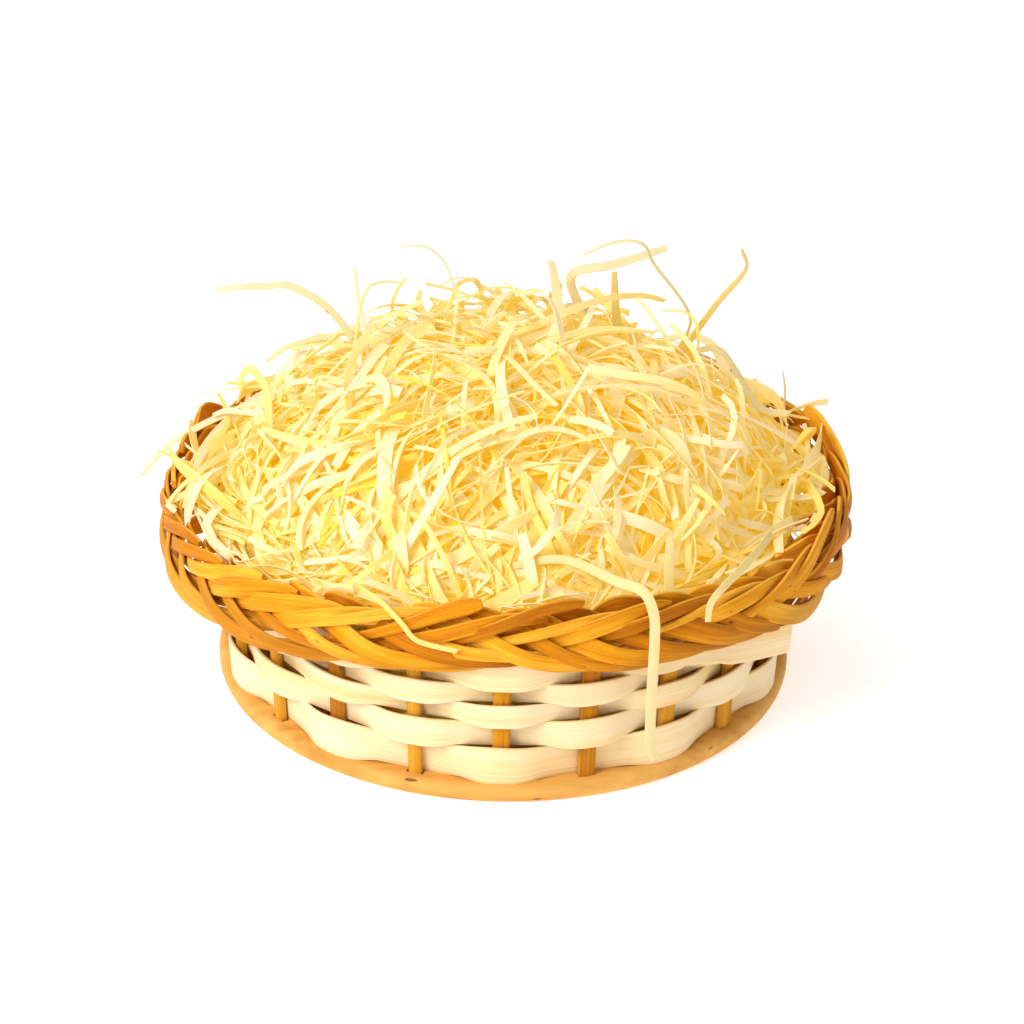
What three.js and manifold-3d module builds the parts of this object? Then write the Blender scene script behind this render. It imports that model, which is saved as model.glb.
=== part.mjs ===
// A round gift basket: a wooden base board, twenty split stakes standing in it, five flat wood
// strips woven through them, a plaited rim made from the stakes' own tails and twenty bye-stakes,
// and a heap of wood-wool shavings inside. Millimetres, +Z up, the front is towards -Y.
import * as THREE from 'three';
import { mergeVertices } from 'three/addons/utils/BufferGeometryUtils.js';
import Module from 'manifold-3d';

const wasm = await Module();
wasm.setup();

// Driving dimensions
const CLEARANCE = 0.3; // between pieces that touch on the real basket

const BASE_RADIUS = 92.3;
const BASE_THICKNESS = 6.4;
const BASE_EDGE_ROUND = 2.6;

const STAKE_COUNT = 20;
const STAKE_WIDTH = 5;
const STAKE_THICKNESS = 2.2;
const STAKE_INSET = 5; // from the board's edge to the middle of a stake
const STAKE_FOOT = 0.4; // how far a stake's end stays above the underside of the board

const ROW_HEIGHTS = [12, 9, 6.6, 6.8, 9.6]; // the woven strips, from the board upwards
const ROW_GAP = 0.4;
const STRIP_THICKNESS = 1;
const WALL_FLARE = 3.7; // how much further out the wall stands at its top
const FREE_END_ANGLE = 21; // degrees that the top strip's loose end runs on past its last stake
const FREE_END_REACH = 13; // how far out the loose end springs
const FREE_END_GAP = 0.6; // between its upper edge and the underside of the rim

const TAIL_WIDTH = 3.7;
const TAIL_THICKNESS = 1.2;
const TAIL_TIP = 0.035; // the share of its round that a tail's tip stands on past the crest
const TAIL_LEAD = 9; // how far along the rim a tail moves while it rises from the wall
const TAIL_SWEEP = 8; // the pull of its bend into the plait, and of its bend out of the wall
const RISE_PULL = 3;
const BEND_START = 4; // how far below the wall's top a stake begins to bend
const RIM_TAILS = 9; // tails side by side at any place on the rim
const RIM_SIDE_FLARE = 6.8; // how much further its sides stand out than its front and back
const RIM_BACK_FLARE = 8; // and its back than its front, which stands just clear of the wall
const RIM_RISE = 1.6; // from the wall's top up to the middle of the rim, on average
const RIM_FRONT_LIFT = 6.3; // its front stands higher than its back
const RIM_SADDLE = 2.5; // its sides dip
const RIM_RIGHT_LIFT = 2.3; // its right side stands a little higher than its left

const BYE_DEPTH = 16; // how deep a bye-stake is pushed down inside the wall
const BYE_OFFSET = 4.5; // degrees from its stake

const HEAP_FLOOR_GAP = 1.2;
const HEAP_WALL_GAP = 1.2;
const HEAP_CORNER = 4; // the slope at the foot of the heap
const HEAP_SHOULDER = 9.5; // from the wall's top up to where the dome begins
const HEAP_RISE = 44; // the dome itself
const SHRED_WIDTH = 3.4;
const SHRED_THICKNESS = 0.6;

// Sizes that follow from them
const PITCH = (2 * Math.PI) / STAKE_COUNT;
const FOOT_RADIUS = BASE_RADIUS - STAKE_INSET;
const WALL_BOTTOM = BASE_THICKNESS + ROW_GAP;
const WALL_HEIGHT = ROW_HEIGHTS.reduce((sum, height) => sum + height + ROW_GAP, 0) - ROW_GAP;
const WALL_TOP = WALL_BOTTOM + WALL_HEIGHT;
const WALL_TOP_RADIUS = FOOT_RADIUS + WALL_FLARE;
const WEAVE_DEPTH = STAKE_THICKNESS / 2 + CLEARANCE + STRIP_THICKNESS / 2 + 0.1;
const BYE_INSET = WEAVE_DEPTH + (STRIP_THICKNESS + TAIL_THICKNESS) / 2 + 2 * CLEARANCE;
const RIM_HALF_HEIGHT = 2.5 * TAIL_WIDTH;
const RIM_HALF_DEPTH = 1.6 * (TAIL_THICKNESS + CLEARANCE);
const RIM_FRONT_STAND = RIM_HALF_DEPTH + 2.8 * TAIL_THICKNESS + 2 * CLEARANCE;
const TAIL_SPAN = (RIM_TAILS * PITCH) / 2; // one tail's whole round of the plait

const materials = {
  board: { color: 0xe0a04e, roughness: 0.7, metalness: 0 },
  willow: { color: 0xc67a26, roughness: 0.6, metalness: 0 },
  strip: { color: 0xf0dcae, roughness: 0.65, metalness: 0 },
  shred: { color: 0xf6df96, roughness: 0.8, metalness: 0 },
};

const basket = new THREE.Group();

function addPiece(name, geometry, material) {
  const piece = new THREE.Mesh(geometry, new THREE.MeshStandardMaterial(materials[material]));
  piece.name = name;
  basket.add(piece);
}

// A point at an angle from the front, counted towards +X
function around(angle, radius, height) {
  return new THREE.Vector3(radius * Math.sin(angle), -radius * Math.cos(angle), height);
}

function wallRadius(height) {
  return FOOT_RADIUS + (WALL_FLARE * (height - BASE_THICKNESS)) / (WALL_TOP - BASE_THICKNESS);
}

function rimRadius(angle) {
  const back = (RIM_BACK_FLARE * (1 - Math.cos(angle))) / 2;
  const side = (RIM_SIDE_FLARE * (1 - Math.cos(2 * angle))) / 2;
  return WALL_TOP_RADIUS + RIM_FRONT_STAND + back + side;
}

function rimHeight(angle) {
  return (
    WALL_TOP +
    RIM_RISE +
    RIM_FRONT_LIFT * Math.cos(angle) +
    RIM_SADDLE * Math.cos(2 * angle) +
    RIM_RIGHT_LIFT * Math.sin(angle)
  );
}

function rimBottom(angle) {
  return rimHeight(angle) - RIM_HALF_HEIGHT - TAIL_WIDTH / 2;
}

// A flat strip along a line of stations, each with its point, width and thickness. The flat side
// faces away from the basket's axis.
function bentStrip(stations) {
  const last = stations.length - 1;
  const geometry = new THREE.BoxGeometry(1, 1, 1, last, 1, 1);
  const position = geometry.getAttribute('position');
  const frames = stations.map((station, i) => {
    const before = stations[Math.max(i - 1, 0)].point;
    const after = stations[Math.min(i + 1, last)].point;
    const along = after.clone().sub(before).normalize();
    const out = station.out ? station.out.clone() : new THREE.Vector3(station.point.x, station.point.y, 0);
    out.addScaledVector(along, -out.dot(along)).normalize();
    const across = new THREE.Vector3().crossVectors(out, along);
    return { across, out };
  });
  for (let i = 0; i < position.count; i++) {
    const step = Math.round((position.getX(i) + 0.5) * last);
    const { point, width, thickness } = stations[step];
    const { across, out } = frames[step];
    const corner = point
      .clone()
      .addScaledVector(across, position.getY(i) * width)
      .addScaledVector(out, position.getZ(i) * thickness);
    position.setXYZ(i, corner.x, corner.y, corner.z);
  }
  return geometry;
}

function toManifold(geometry) {
  const bare = geometry.clone();
  bare.deleteAttribute('normal');
  bare.deleteAttribute('uv');
  const merged = mergeVertices(bare, 1e-4);
  return new wasm.Manifold(
    new wasm.Mesh({
      numProp: 3,
      vertProperties: new Float32Array(merged.getAttribute('position').array),
      triVerts: new Uint32Array(merged.getIndex().array),
    }),
  );
}

function toGeometry(solid) {
  const { vertProperties, triVerts } = solid.getMesh();
  const geometry = new THREE.BufferGeometry();
  geometry.setAttribute('position', new THREE.BufferAttribute(vertProperties, 3));
  geometry.setIndex(new THREE.BufferAttribute(triVerts, 1));
  geometry.computeVertexNormals();
  return geometry;
}

// A closed body of revolution from its outline, which starts and ends on the axis
function turned(outline, segments) {
  const geometry = new THREE.LatheGeometry(outline, segments);
  geometry.rotateX(Math.PI / 2);
  return geometry;
}

function arcPoints(centreRadius, centreHeight, radius, from, to, steps) {
  return Array.from({ length: steps + 1 }, (_, i) => {
    const turn = from + ((to - from) * i) / steps;
    return new THREE.Vector2(centreRadius + radius * Math.cos(turn), centreHeight + radius * Math.sin(turn));
  });
}

// The base board: a disc with a rounded edge and a slot for each stake
function baseBoard() {
  const rounded = BASE_RADIUS - BASE_EDGE_ROUND;
  const quarter = Math.PI / 2;
  const outline = [
    new THREE.Vector2(0, 0),
    ...arcPoints(rounded, BASE_EDGE_ROUND, BASE_EDGE_ROUND, -quarter, 0, 3),
    ...arcPoints(rounded, BASE_THICKNESS - BASE_EDGE_ROUND, BASE_EDGE_ROUND, 0, quarter, 3),
    new THREE.Vector2(0, BASE_THICKNESS),
  ];
  let board = toManifold(turned(outline, 60));
  for (let i = 0; i < STAKE_COUNT; i++) {
    const slot = new THREE.BoxGeometry(
      STAKE_WIDTH + 2 * CLEARANCE,
      STAKE_THICKNESS + 2 * CLEARANCE,
      3 * BASE_THICKNESS,
    );
    slot.rotateZ(i * PITCH);
    slot.translate(...around(i * PITCH, FOOT_RADIUS, 0).toArray());
    board = board.subtract(toManifold(slot));
  }
  return toGeometry(board);
}

// A tail's place in the plait. Its round is 0 and 1 at the crest of the rim and a half at the
// bottom. It goes down behind the others, comes out below the middle, and goes up the same way.
function plaitPoint(crestAngle, round) {
  const angle = crestAngle + round * TAIL_SPAN;
  const sway = Math.sin(4 * Math.PI * round) - 0.25 * Math.sin(8 * Math.PI * round);
  return around(
    angle,
    rimRadius(angle) - RIM_HALF_DEPTH * sway,
    rimHeight(angle) + RIM_HALF_HEIGHT * Math.cos(2 * Math.PI * round),
  );
}

const TAIL_STEPS = 2 * RIM_TAILS; // in a whole round, so that it has a station at each crossing
const FIRST_STEP = 3; // the first of them that it passes in the plait, a half step after it joins
const TAIL_JOINS = (FIRST_STEP - 0.5) / TAIL_STEPS;
const RISE_STEPS = 6;

// The stations of a tail, from the wall's top to its tip, for a stake that leaves the wall at
// this angle and radius
function tailStations(angle, radius, width, thickness) {
  const start = around(angle, radius, WALL_TOP + CLEARANCE);
  const lead = TAIL_LEAD / rimRadius(angle);
  const crestAngle = angle + lead - TAIL_JOINS * TAIL_SPAN;
  const join = plaitPoint(crestAngle, TAIL_JOINS);
  const heading = plaitPoint(crestAngle, TAIL_JOINS + 0.01).sub(join).normalize();
  const climb = join.z - start.z;
  const rise = new THREE.CubicBezierCurve3(
    start,
    start.clone().add(new THREE.Vector3(0, 0, RISE_PULL + climb / 2)),
    join.clone().addScaledVector(heading, -TAIL_SWEEP),
    join,
  );
  const risers = rise.getPoints(RISE_STEPS).map((point, i) => ({
    point,
    width: THREE.MathUtils.lerp(width, TAIL_WIDTH, i / RISE_STEPS),
    thickness: THREE.MathUtils.lerp(thickness, TAIL_THICKNESS, Math.min(i / 2, 1)),
  }));
  const tail = [];
  for (let step = FIRST_STEP; step <= TAIL_STEPS + 1; step++) {
    const round = Math.min(step / TAIL_STEPS, 1 + TAIL_TIP);
    tail.push({ point: plaitPoint(crestAngle, round), width: TAIL_WIDTH, thickness: TAIL_THICKNESS });
  }
  return [...risers, ...tail];
}

// A stake: its foot in the board, up the wall, and its tail in the plait
function stake(index) {
  const angle = index * PITCH;
  const wall = [STAKE_FOOT, BASE_THICKNESS, WALL_TOP - BEND_START].map((height) => ({
    point: around(angle, Math.max(wallRadius(height), FOOT_RADIUS), height),
    width: STAKE_WIDTH,
    thickness: STAKE_THICKNESS,
  }));
  return bentStrip([...wall, ...tailStations(angle, WALL_TOP_RADIUS, STAKE_WIDTH, STAKE_THICKNESS)]);
}

// A bye-stake: pushed down inside the wall beside a stake, to fill the plait between two of them
function byeStake(index) {
  const angle = index * PITCH + THREE.MathUtils.degToRad(BYE_OFFSET);
  const wall = [WALL_TOP - BYE_DEPTH, WALL_TOP - BEND_START].map((height) => ({
    point: around(angle, wallRadius(height) - BYE_INSET, height),
    width: TAIL_WIDTH,
    thickness: TAIL_THICKNESS,
  }));
  const halfway = (index + 0.5) * PITCH;
  const tail = tailStations(halfway, WALL_TOP_RADIUS - BYE_INSET, TAIL_WIDTH, TAIL_THICKNESS);
  return bentStrip([...wall, ...tail]);
}

// A woven strip goes out round one stake and in behind the next. Places along it are counted in
// pitches from half way before its first stake, and its end laps over its start.
const FLAT = 0.12; // half of the stretch that lies flat against a stake, in pitches
const END = 0.15; // how far from half way between two stakes a strip's ends are
const LAP_RAMP = 0.35; // the stretch in which a strip comes out over its own start

function weave(place) {
  const nearest = Math.floor(place);
  const fromStake = Math.abs(place - nearest - 0.5);
  const side = nearest % 2 === 0 ? 1 : -1;
  return side * WEAVE_DEPTH * Math.min((0.5 - fromStake) / (0.5 - FLAT), 1);
}

function stripPlaces() {
  const places = [END, 0.5 - FLAT, 0.5 + FLAT];
  for (let gap = 1; gap <= STAKE_COUNT; gap++) {
    places.push(gap);
    if (gap === STAKE_COUNT) places.push(gap + END);
    places.push(gap + 0.5 - FLAT, gap + 0.5 + FLAT);
  }
  return places;
}

function wovenStrip(row, firstStake) {
  const height = ROW_HEIGHTS[row];
  const below = ROW_HEIGHTS.slice(0, row).reduce((sum, other) => sum + other + ROW_GAP, 0);
  const middle = WALL_BOTTOM + below + height / 2;
  const lean = Math.atan2(WALL_FLARE, WALL_TOP - BASE_THICKNESS);
  const lap = STRIP_THICKNESS + 1.5 * CLEARANCE;
  const isTop = row === ROW_HEIGHTS.length - 1;
  const station = (place, reach, drop) => {
    const angle = (firstStake - 0.5 + place) * PITCH;
    const lapping = THREE.MathUtils.clamp((place - STAKE_COUNT) / LAP_RAMP + 1, 0, 1);
    const radius = wallRadius(middle) + weave(place) + lap * lapping + reach;
    const out = around(angle, Math.cos(lean), -Math.sin(lean));
    return { point: around(angle, radius, middle - drop), width: height, thickness: STRIP_THICKNESS, out };
  };
  const stations = stripPlaces().map((place) => station(place, 0, 0));
  if (!isTop) {
    stations.push(station(STAKE_COUNT + 1 - END, 0, 0));
    return bentStrip(stations);
  }
  const lastFlat = STAKE_COUNT + 0.5 + FLAT;
  const run = THREE.MathUtils.degToRad(FREE_END_ANGLE) / PITCH;
  for (const share of [0.25, 0.5, 0.75, 1]) {
    const place = lastFlat + share * run;
    const reach = FREE_END_REACH * share ** 1.5 + WEAVE_DEPTH - weave(place);
    const underRim = rimBottom((firstStake - 0.5 + place) * PITCH) - FREE_END_GAP - height / 2;
    stations.push(station(place, reach, (middle - underRim) * Math.min(2 * share, 1)));
  }
  return bentStrip(stations);
}

// The heap of wood wool: one closed solid, kept clear of the wall and the rim
const HEAP_RADIUS = WALL_TOP_RADIUS - BYE_INSET - TAIL_THICKNESS / 2 - HEAP_WALL_GAP;
const HEAP_MIDDLE = WALL_TOP + HEAP_SHOULDER;

function heapHeight(x, y) {
  return HEAP_MIDDLE + HEAP_RISE * Math.sqrt(Math.max(0, 1 - (x * x + y * y) / HEAP_RADIUS ** 2));
}

function woodWoolHeap() {
  const floor = BASE_THICKNESS + HEAP_FLOOR_GAP;
  const inWall = FOOT_RADIUS - WEAVE_DEPTH - STRIP_THICKNESS / 2 - HEAP_WALL_GAP - 1;
  const dome = Array.from({ length: 11 }, (_, i) => {
    const turn = (i / 10) * (Math.PI / 2);
    return new THREE.Vector2(HEAP_RADIUS * Math.cos(turn), HEAP_MIDDLE + HEAP_RISE * Math.sin(turn));
  });
  dome.at(-1).x = 0;
  const outline = [
    new THREE.Vector2(0, floor),
    new THREE.Vector2(inWall - HEAP_CORNER, floor),
    new THREE.Vector2(inWall, floor + HEAP_CORNER),
    ...dome,
  ];
  return turned(outline, 36);
}

// Loose shavings that reach out of the heap, as the points that each one passes through: over
// the heap, at a share of its radius and a height above its dome, or by the rim, at a distance
// out from its middle line and up from it
const overHeap = (degrees, share, above) => {
  const place = around(THREE.MathUtils.degToRad(degrees), share * HEAP_RADIUS, 0);
  return place.setZ(heapHeight(place.x, place.y) + above);
};
const byRim = (degrees, out, up) => {
  const angle = THREE.MathUtils.degToRad(degrees);
  return around(angle, rimRadius(angle) + out, rimHeight(angle) + up);
};

const looseShreds = {
  shred_left_high: [
    overHeap(-113, 1.21, 53),
    overHeap(-117, 1.06, 57),
    overHeap(-120, 0.95, 42),
    overHeap(-125, 0.83, 21),
    overHeap(-130, 0.74, 2),
  ],
  shred_over_left_rim: [
    byRim(-107, 16, 2),
    byRim(-108, 7, 14),
    byRim(-109, -3, 20),
    byRim(-112, -14, 23),
    overHeap(-114, 0.96, 2.5),
  ],
  shred_top_flat: [
    overHeap(135, 0.84, 39),
    overHeap(146, 0.72, 26),
    overHeap(158, 0.64, 19),
    overHeap(156, 0.64, 9),
    overHeap(149, 0.65, 2),
  ],
  shred_high_arch: [
    overHeap(151, 0.57, 28),
    overHeap(142, 0.65, 35),
    overHeap(136, 0.72, 37),
    overHeap(134, 0.76, 31),
    overHeap(128, 0.87, 19),
    overHeap(130, 0.83, 2),
  ],
  shred_right_curl: [
    overHeap(121, 1.03, 63),
    overHeap(121, 1.05, 55),
    overHeap(123, 0.97, 30),
    overHeap(127, 0.89, 2),
  ],
  shred_upright: [overHeap(139, 0.6, 25), overHeap(138, 0.6, 13), overHeap(137, 0.61, 2)],
  shred_draped: [
    overHeap(3, 0.93, 2),
    overHeap(15, 0.98, 13),
    byRim(24, -4, 17),
    byRim(27, 1, 15),
    byRim(28, 6, 10),
    byRim(28, 8, 0),
    byRim(27, 8, -20),
    byRim(27, 7, -38),
    byRim(28, 7, -43),
  ],
};

function looseShred(points) {
  const curve = new THREE.CatmullRomCurve3(points);
  const steps = 3 * (points.length - 1);
  return bentStrip(
    curve.getPoints(steps).map((point) => ({
      point,
      width: SHRED_WIDTH,
      thickness: SHRED_THICKNESS,
    })),
  );
}

const ROW_FIRST_STAKES = [14, 5, 16, 9, 2]; // the stake that each strip's ends lap over
const pad = (number) => String(number).padStart(2, '0');

addPiece('base_board', baseBoard(), 'board');
for (let i = 0; i < STAKE_COUNT; i++) addPiece(`stake_${pad(i + 1)}`, stake(i), 'willow');
for (let i = 0; i < STAKE_COUNT; i++) addPiece(`bye_stake_${pad(i + 1)}`, byeStake(i), 'willow');
ROW_HEIGHTS.forEach((_, row) => {
  addPiece(`woven_strip_${row + 1}`, wovenStrip(row, ROW_FIRST_STAKES[row]), 'strip');
});
addPiece('wood_wool_heap', woodWoolHeap(), 'shred');
for (const [name, points] of Object.entries(looseShreds)) addPiece(name, looseShred(points), 'shred');

export default basket;
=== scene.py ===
import math

import bpy
import numpy as np
from mathutils import Matrix, Vector


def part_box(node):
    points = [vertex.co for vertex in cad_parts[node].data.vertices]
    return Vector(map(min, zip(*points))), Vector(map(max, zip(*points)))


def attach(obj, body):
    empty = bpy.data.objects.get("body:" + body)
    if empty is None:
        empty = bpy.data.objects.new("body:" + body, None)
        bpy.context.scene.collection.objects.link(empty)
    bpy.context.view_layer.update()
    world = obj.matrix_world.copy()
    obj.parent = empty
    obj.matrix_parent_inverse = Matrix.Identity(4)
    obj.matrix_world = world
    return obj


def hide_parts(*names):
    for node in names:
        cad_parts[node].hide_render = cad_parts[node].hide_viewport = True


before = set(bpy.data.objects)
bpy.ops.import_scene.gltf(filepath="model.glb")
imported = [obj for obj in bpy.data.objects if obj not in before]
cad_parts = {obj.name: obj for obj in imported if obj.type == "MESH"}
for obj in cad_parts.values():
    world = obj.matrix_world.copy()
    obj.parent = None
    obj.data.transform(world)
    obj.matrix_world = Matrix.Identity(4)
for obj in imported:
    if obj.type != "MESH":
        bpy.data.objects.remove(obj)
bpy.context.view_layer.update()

# A round gift basket: a wooden base board, split stakes standing in it, flat wood strips woven
# through them, a rim plaited from the stakes' tails and bye-stakes, and wood wool heaped inside.
# Metres, +Z up, the front towards -Y. The sizes down to SHRED_WIDTH are the CAD model's.

BASE_RADIUS = 0.0923
BASE_EDGE_ROUND = 0.0026
BOARD_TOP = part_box("base_board")[1].z

STAKE_COUNT = 20
STAKE_WIDTH = 0.005
STAKE_THICKNESS = 0.0022
STAKE_INSET = 0.005
STAKE_FOOT = 0.0004
SLOT_ROOM = 0.0003

ROW_HEIGHTS = [0.012, 0.009, 0.0066, 0.0068, 0.0096]
ROW_GAP = 0.0004
STRIP_THICKNESS = 0.001
WALL_FLARE = 0.0037
FREE_END_ANGLE = math.radians(21)
FREE_END_REACH = 0.013
FREE_END_GAP = 0.0006
ROW_FIRST_STAKES = [14, 5, 16, 9, 2]

TAIL_WIDTH = 0.0037
TAIL_THICKNESS = 0.0012
TAIL_LEAD = 0.009
TAIL_SWEEP = 0.008
RISE_PULL = 0.003
RIM_TAILS = 9
RIM_SIDE_FLARE = 0.0068
RIM_BACK_FLARE = 0.008
RIM_RISE = 0.0016
RIM_FRONT_LIFT = 0.0063
RIM_SADDLE = 0.0025
RIM_RIGHT_LIFT = 0.0023
RIM_HALF_HEIGHT = 2.5 * TAIL_WIDTH
RIM_HALF_DEPTH = 0.0024
RIM_FRONT_STAND = 0.00636

BYE_DEPTH = 0.016
BYE_OFFSET = math.radians(4.5)
BEND_START = 0.004

HEAP_SHOULDER = 0.0095
HEAP_RISE = 0.044
HEAP_FLOOR_GAP = 0.0012
SHRED_WIDTH = 0.0034

PITCH = 2 * math.pi / STAKE_COUNT
FOOT_RADIUS = BASE_RADIUS - STAKE_INSET
WALL_BOTTOM = BOARD_TOP + ROW_GAP
WALL_TOP = WALL_BOTTOM + sum(ROW_HEIGHTS) + ROW_GAP * (len(ROW_HEIGHTS) - 1)
WALL_TOP_RADIUS = FOOT_RADIUS + WALL_FLARE
WEAVE_DEPTH = 0.002
BYE_INSET = 0.0037
TAIL_SPAN = RIM_TAILS * PITCH / 2
TAIL_JOINS = 2.5 / (2 * RIM_TAILS)
HEAP_RADIUS = WALL_TOP_RADIUS - BYE_INSET - 0.0018
HEAP_MIDDLE = WALL_TOP + HEAP_SHOULDER


# ---------------------------------------------------------------- the shapes they follow

def around(angle, radius, height):
    """Points at an angle from the front, counted towards +X."""
    angle, radius, height = np.broadcast_arrays(angle, radius, height)
    return np.stack([radius * np.sin(angle), -radius * np.cos(angle), height], axis=-1)


def wall_radius(height):
    return FOOT_RADIUS + WALL_FLARE * (height - BOARD_TOP) / (WALL_TOP - BOARD_TOP)


def rim_radius(angle):
    back = RIM_BACK_FLARE * (1 - np.cos(angle)) / 2
    side = RIM_SIDE_FLARE * (1 - np.cos(2 * angle)) / 2
    return WALL_TOP_RADIUS + RIM_FRONT_STAND + back + side


def rim_height(angle):
    lift = RIM_FRONT_LIFT * np.cos(angle) + RIM_SADDLE * np.cos(2 * angle)
    return WALL_TOP + RIM_RISE + lift + RIM_RIGHT_LIFT * np.sin(angle)


def heap_height(radius):
    share = np.clip(radius / HEAP_RADIUS, 0, 1)
    return HEAP_MIDDLE + HEAP_RISE * np.sqrt(1 - share**2)


def unit(vectors):
    return vectors / np.linalg.norm(vectors, axis=-1, keepdims=True)


def evenly_along(points, count):
    """The same line as count points at even distances."""
    steps = np.linalg.norm(np.diff(points, axis=0), axis=1)
    travelled = np.concatenate([[0], np.cumsum(steps)])
    places = np.linspace(0, travelled[-1], count)
    return np.stack([np.interp(places, travelled, points[:, k]) for k in range(3)], axis=1)


def smooth_through(points, per_span):
    """A smooth line through the points."""
    points = np.asarray(points, float)
    padded = np.vstack([2 * points[0] - points[1], points, 2 * points[-1] - points[-2]])
    line = []
    for a, b, c, d in zip(padded[:-3], padded[1:-2], padded[2:-1], padded[3:]):
        for t in np.arange(per_span) / per_span:
            bend = (2 * a - 5 * b + 4 * c - d) * t * t + (3 * b - a - 3 * c + d) * t**3
            line.append((2 * b + (c - a) * t + bend) / 2)
    return np.array(line + [points[-1]])


def wander(draw, count, size, waves):
    """A slow wander along a piece, with no jumps: size is how far it strays."""
    places = np.linspace(0, 1, count)
    knots = draw.normal(0, size, waves + 3)
    spots = places * waves + 1
    whole = np.minimum(spots.astype(int), waves)
    part = spots - whole
    ease = part * part * (3 - 2 * part)
    return knots[whole] * (1 - ease) + knots[whole + 1] * ease


# ---------------------------------------------------------------- working in edit mode

def only(obj):
    """Selects this object alone."""
    bpy.ops.object.select_all(action="DESELECT")
    obj.select_set(True)
    bpy.context.view_layer.objects.active = obj


def select_by(obj, kind, wanted):
    """In edit mode, selects the vertices or edges whose middle is wanted, and nothing else."""
    bpy.ops.mesh.select_all(action="DESELECT")
    bpy.ops.mesh.select_mode(type=kind)
    bpy.ops.object.mode_set(mode="OBJECT")
    mesh = obj.data
    places = [v.co for v in mesh.vertices]
    if kind == "VERT":
        for vertex in mesh.vertices:
            vertex.select = wanted(vertex.co)
    else:
        for edge in mesh.edges:
            ends = [places[i] for i in edge.vertices]
            edge.select = wanted((ends[0] + ends[1]) / 2, ends[1] - ends[0])
    bpy.ops.object.mode_set(mode="EDIT")


def straight_strip(name, width, thickness, steps, profile, edge):
    """A straight strip, 1 long, that is laid along its path later. profile holds how far its
    outer face stands up at even places across it, as a share of the thickness."""
    bpy.ops.object.select_all(action="DESELECT")
    bpy.ops.mesh.primitive_grid_add(
        x_subdivisions=steps, y_subdivisions=len(profile) - 1, size=1, location=(0.5, 0, 0)
    )
    strip = bpy.context.object
    strip.name = name
    bpy.ops.object.transform_apply(location=True, rotation=True, scale=True)
    bpy.ops.object.mode_set(mode="EDIT")
    bpy.ops.transform.resize(value=(1, width, 1))
    bpy.ops.mesh.extrude_region_move(TRANSFORM_OT_translate={"value": (0, 0, thickness)})
    bpy.ops.mesh.select_all(action="SELECT")
    bpy.ops.transform.translate(value=(0, 0, -thickness / 2))
    gap = width / (len(profile) - 1)
    for column, rise in enumerate(profile):
        if rise == 0:
            continue
        middle = -width / 2 + column * gap
        select_by(strip, "VERT", lambda co: co.z > 0 and abs(co.y - middle) < gap / 4)
        bpy.ops.transform.translate(value=(0, 0, rise * thickness))
    side = width / 2 - gap / 4
    select_by(strip, "EDGE", lambda co, run: abs(co.y) > side and abs(run.x) > 0.5 / steps)
    bpy.ops.mesh.bevel(offset=edge, offset_type="OFFSET", segments=2, affect="EDGES")
    bpy.ops.mesh.select_all(action="SELECT")
    bpy.ops.mesh.normals_make_consistent(inside=False)
    bpy.ops.object.mode_set(mode="OBJECT")
    return strip


def coordinates(mesh):
    flat = np.empty(3 * len(mesh.vertices))
    mesh.vertices.foreach_get("co", flat)
    return flat.reshape(-1, 3)


def line_frames(points, facing):
    """The direction along a line at each point, the one its flat side faces, and across."""
    along = unit(np.gradient(points, axis=0))
    out = unit(facing - along * np.sum(facing * along, axis=1, keepdims=True))
    return along, out, np.cross(out, along)


def lay_along(strip, name, points, facing, width=1, thickness=1, slant=0, grain=0):
    """A copy of a straight strip, bent along the points. width and thickness scale it at each
    point, slant cuts its far end at an angle, and grain gives it its own place in the wood."""
    piece = bpy.data.objects.new(name, strip.data.copy())
    piece.data.name = name
    bpy.context.scene.collection.objects.link(piece)
    straight = coordinates(piece.data)
    last = len(points) - 1
    station = np.rint(straight[:, 0] * last).astype(int)
    along, out, across = line_frames(points, facing)
    y = straight[:, 1] * np.broadcast_to(width, last + 1)[station]
    z = straight[:, 2] * np.broadcast_to(thickness, last + 1)[station]
    shear = np.where(station == last, slant * y, 0)
    bent = (
        points[station]
        + across[station] * y[:, None]
        + out[station] * z[:, None]
        + along[station] * shear[:, None]
    )
    piece.data.vertices.foreach_set("co", bent.ravel())
    length = np.linalg.norm(np.diff(points, axis=0), axis=1).sum()
    whole = np.abs(straight[:, 1]).max() * 2.1
    across_map = straight[:, 1] / whole + 0.5 + grain
    set_grain_map(piece.data, straight[:, 0] * length + 0.37 * grain, across_map)
    only(piece)
    bpy.ops.object.shade_smooth_by_angle(angle=math.radians(40))
    return piece


def set_grain_map(mesh, along, across):
    """The piece's own map: metres along the grain, and the share of its width across it, each
    piece from its own whole number on."""
    corner = np.empty(len(mesh.loops), int)
    mesh.loops.foreach_get("vertex_index", corner)
    layer = mesh.uv_layers.new(name="grain") if not mesh.uv_layers else mesh.uv_layers[0]
    layer.name = "grain"
    layer.data.foreach_set("uv", np.stack([along, across], axis=1)[corner].ravel())


def finish_piece(piece, body, slot, material, *nodes):
    piece.data.materials.clear()
    piece.data.materials.append(material)
    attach(piece, body)
    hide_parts(*nodes)


# ---------------------------------------------------------------- finishes

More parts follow.
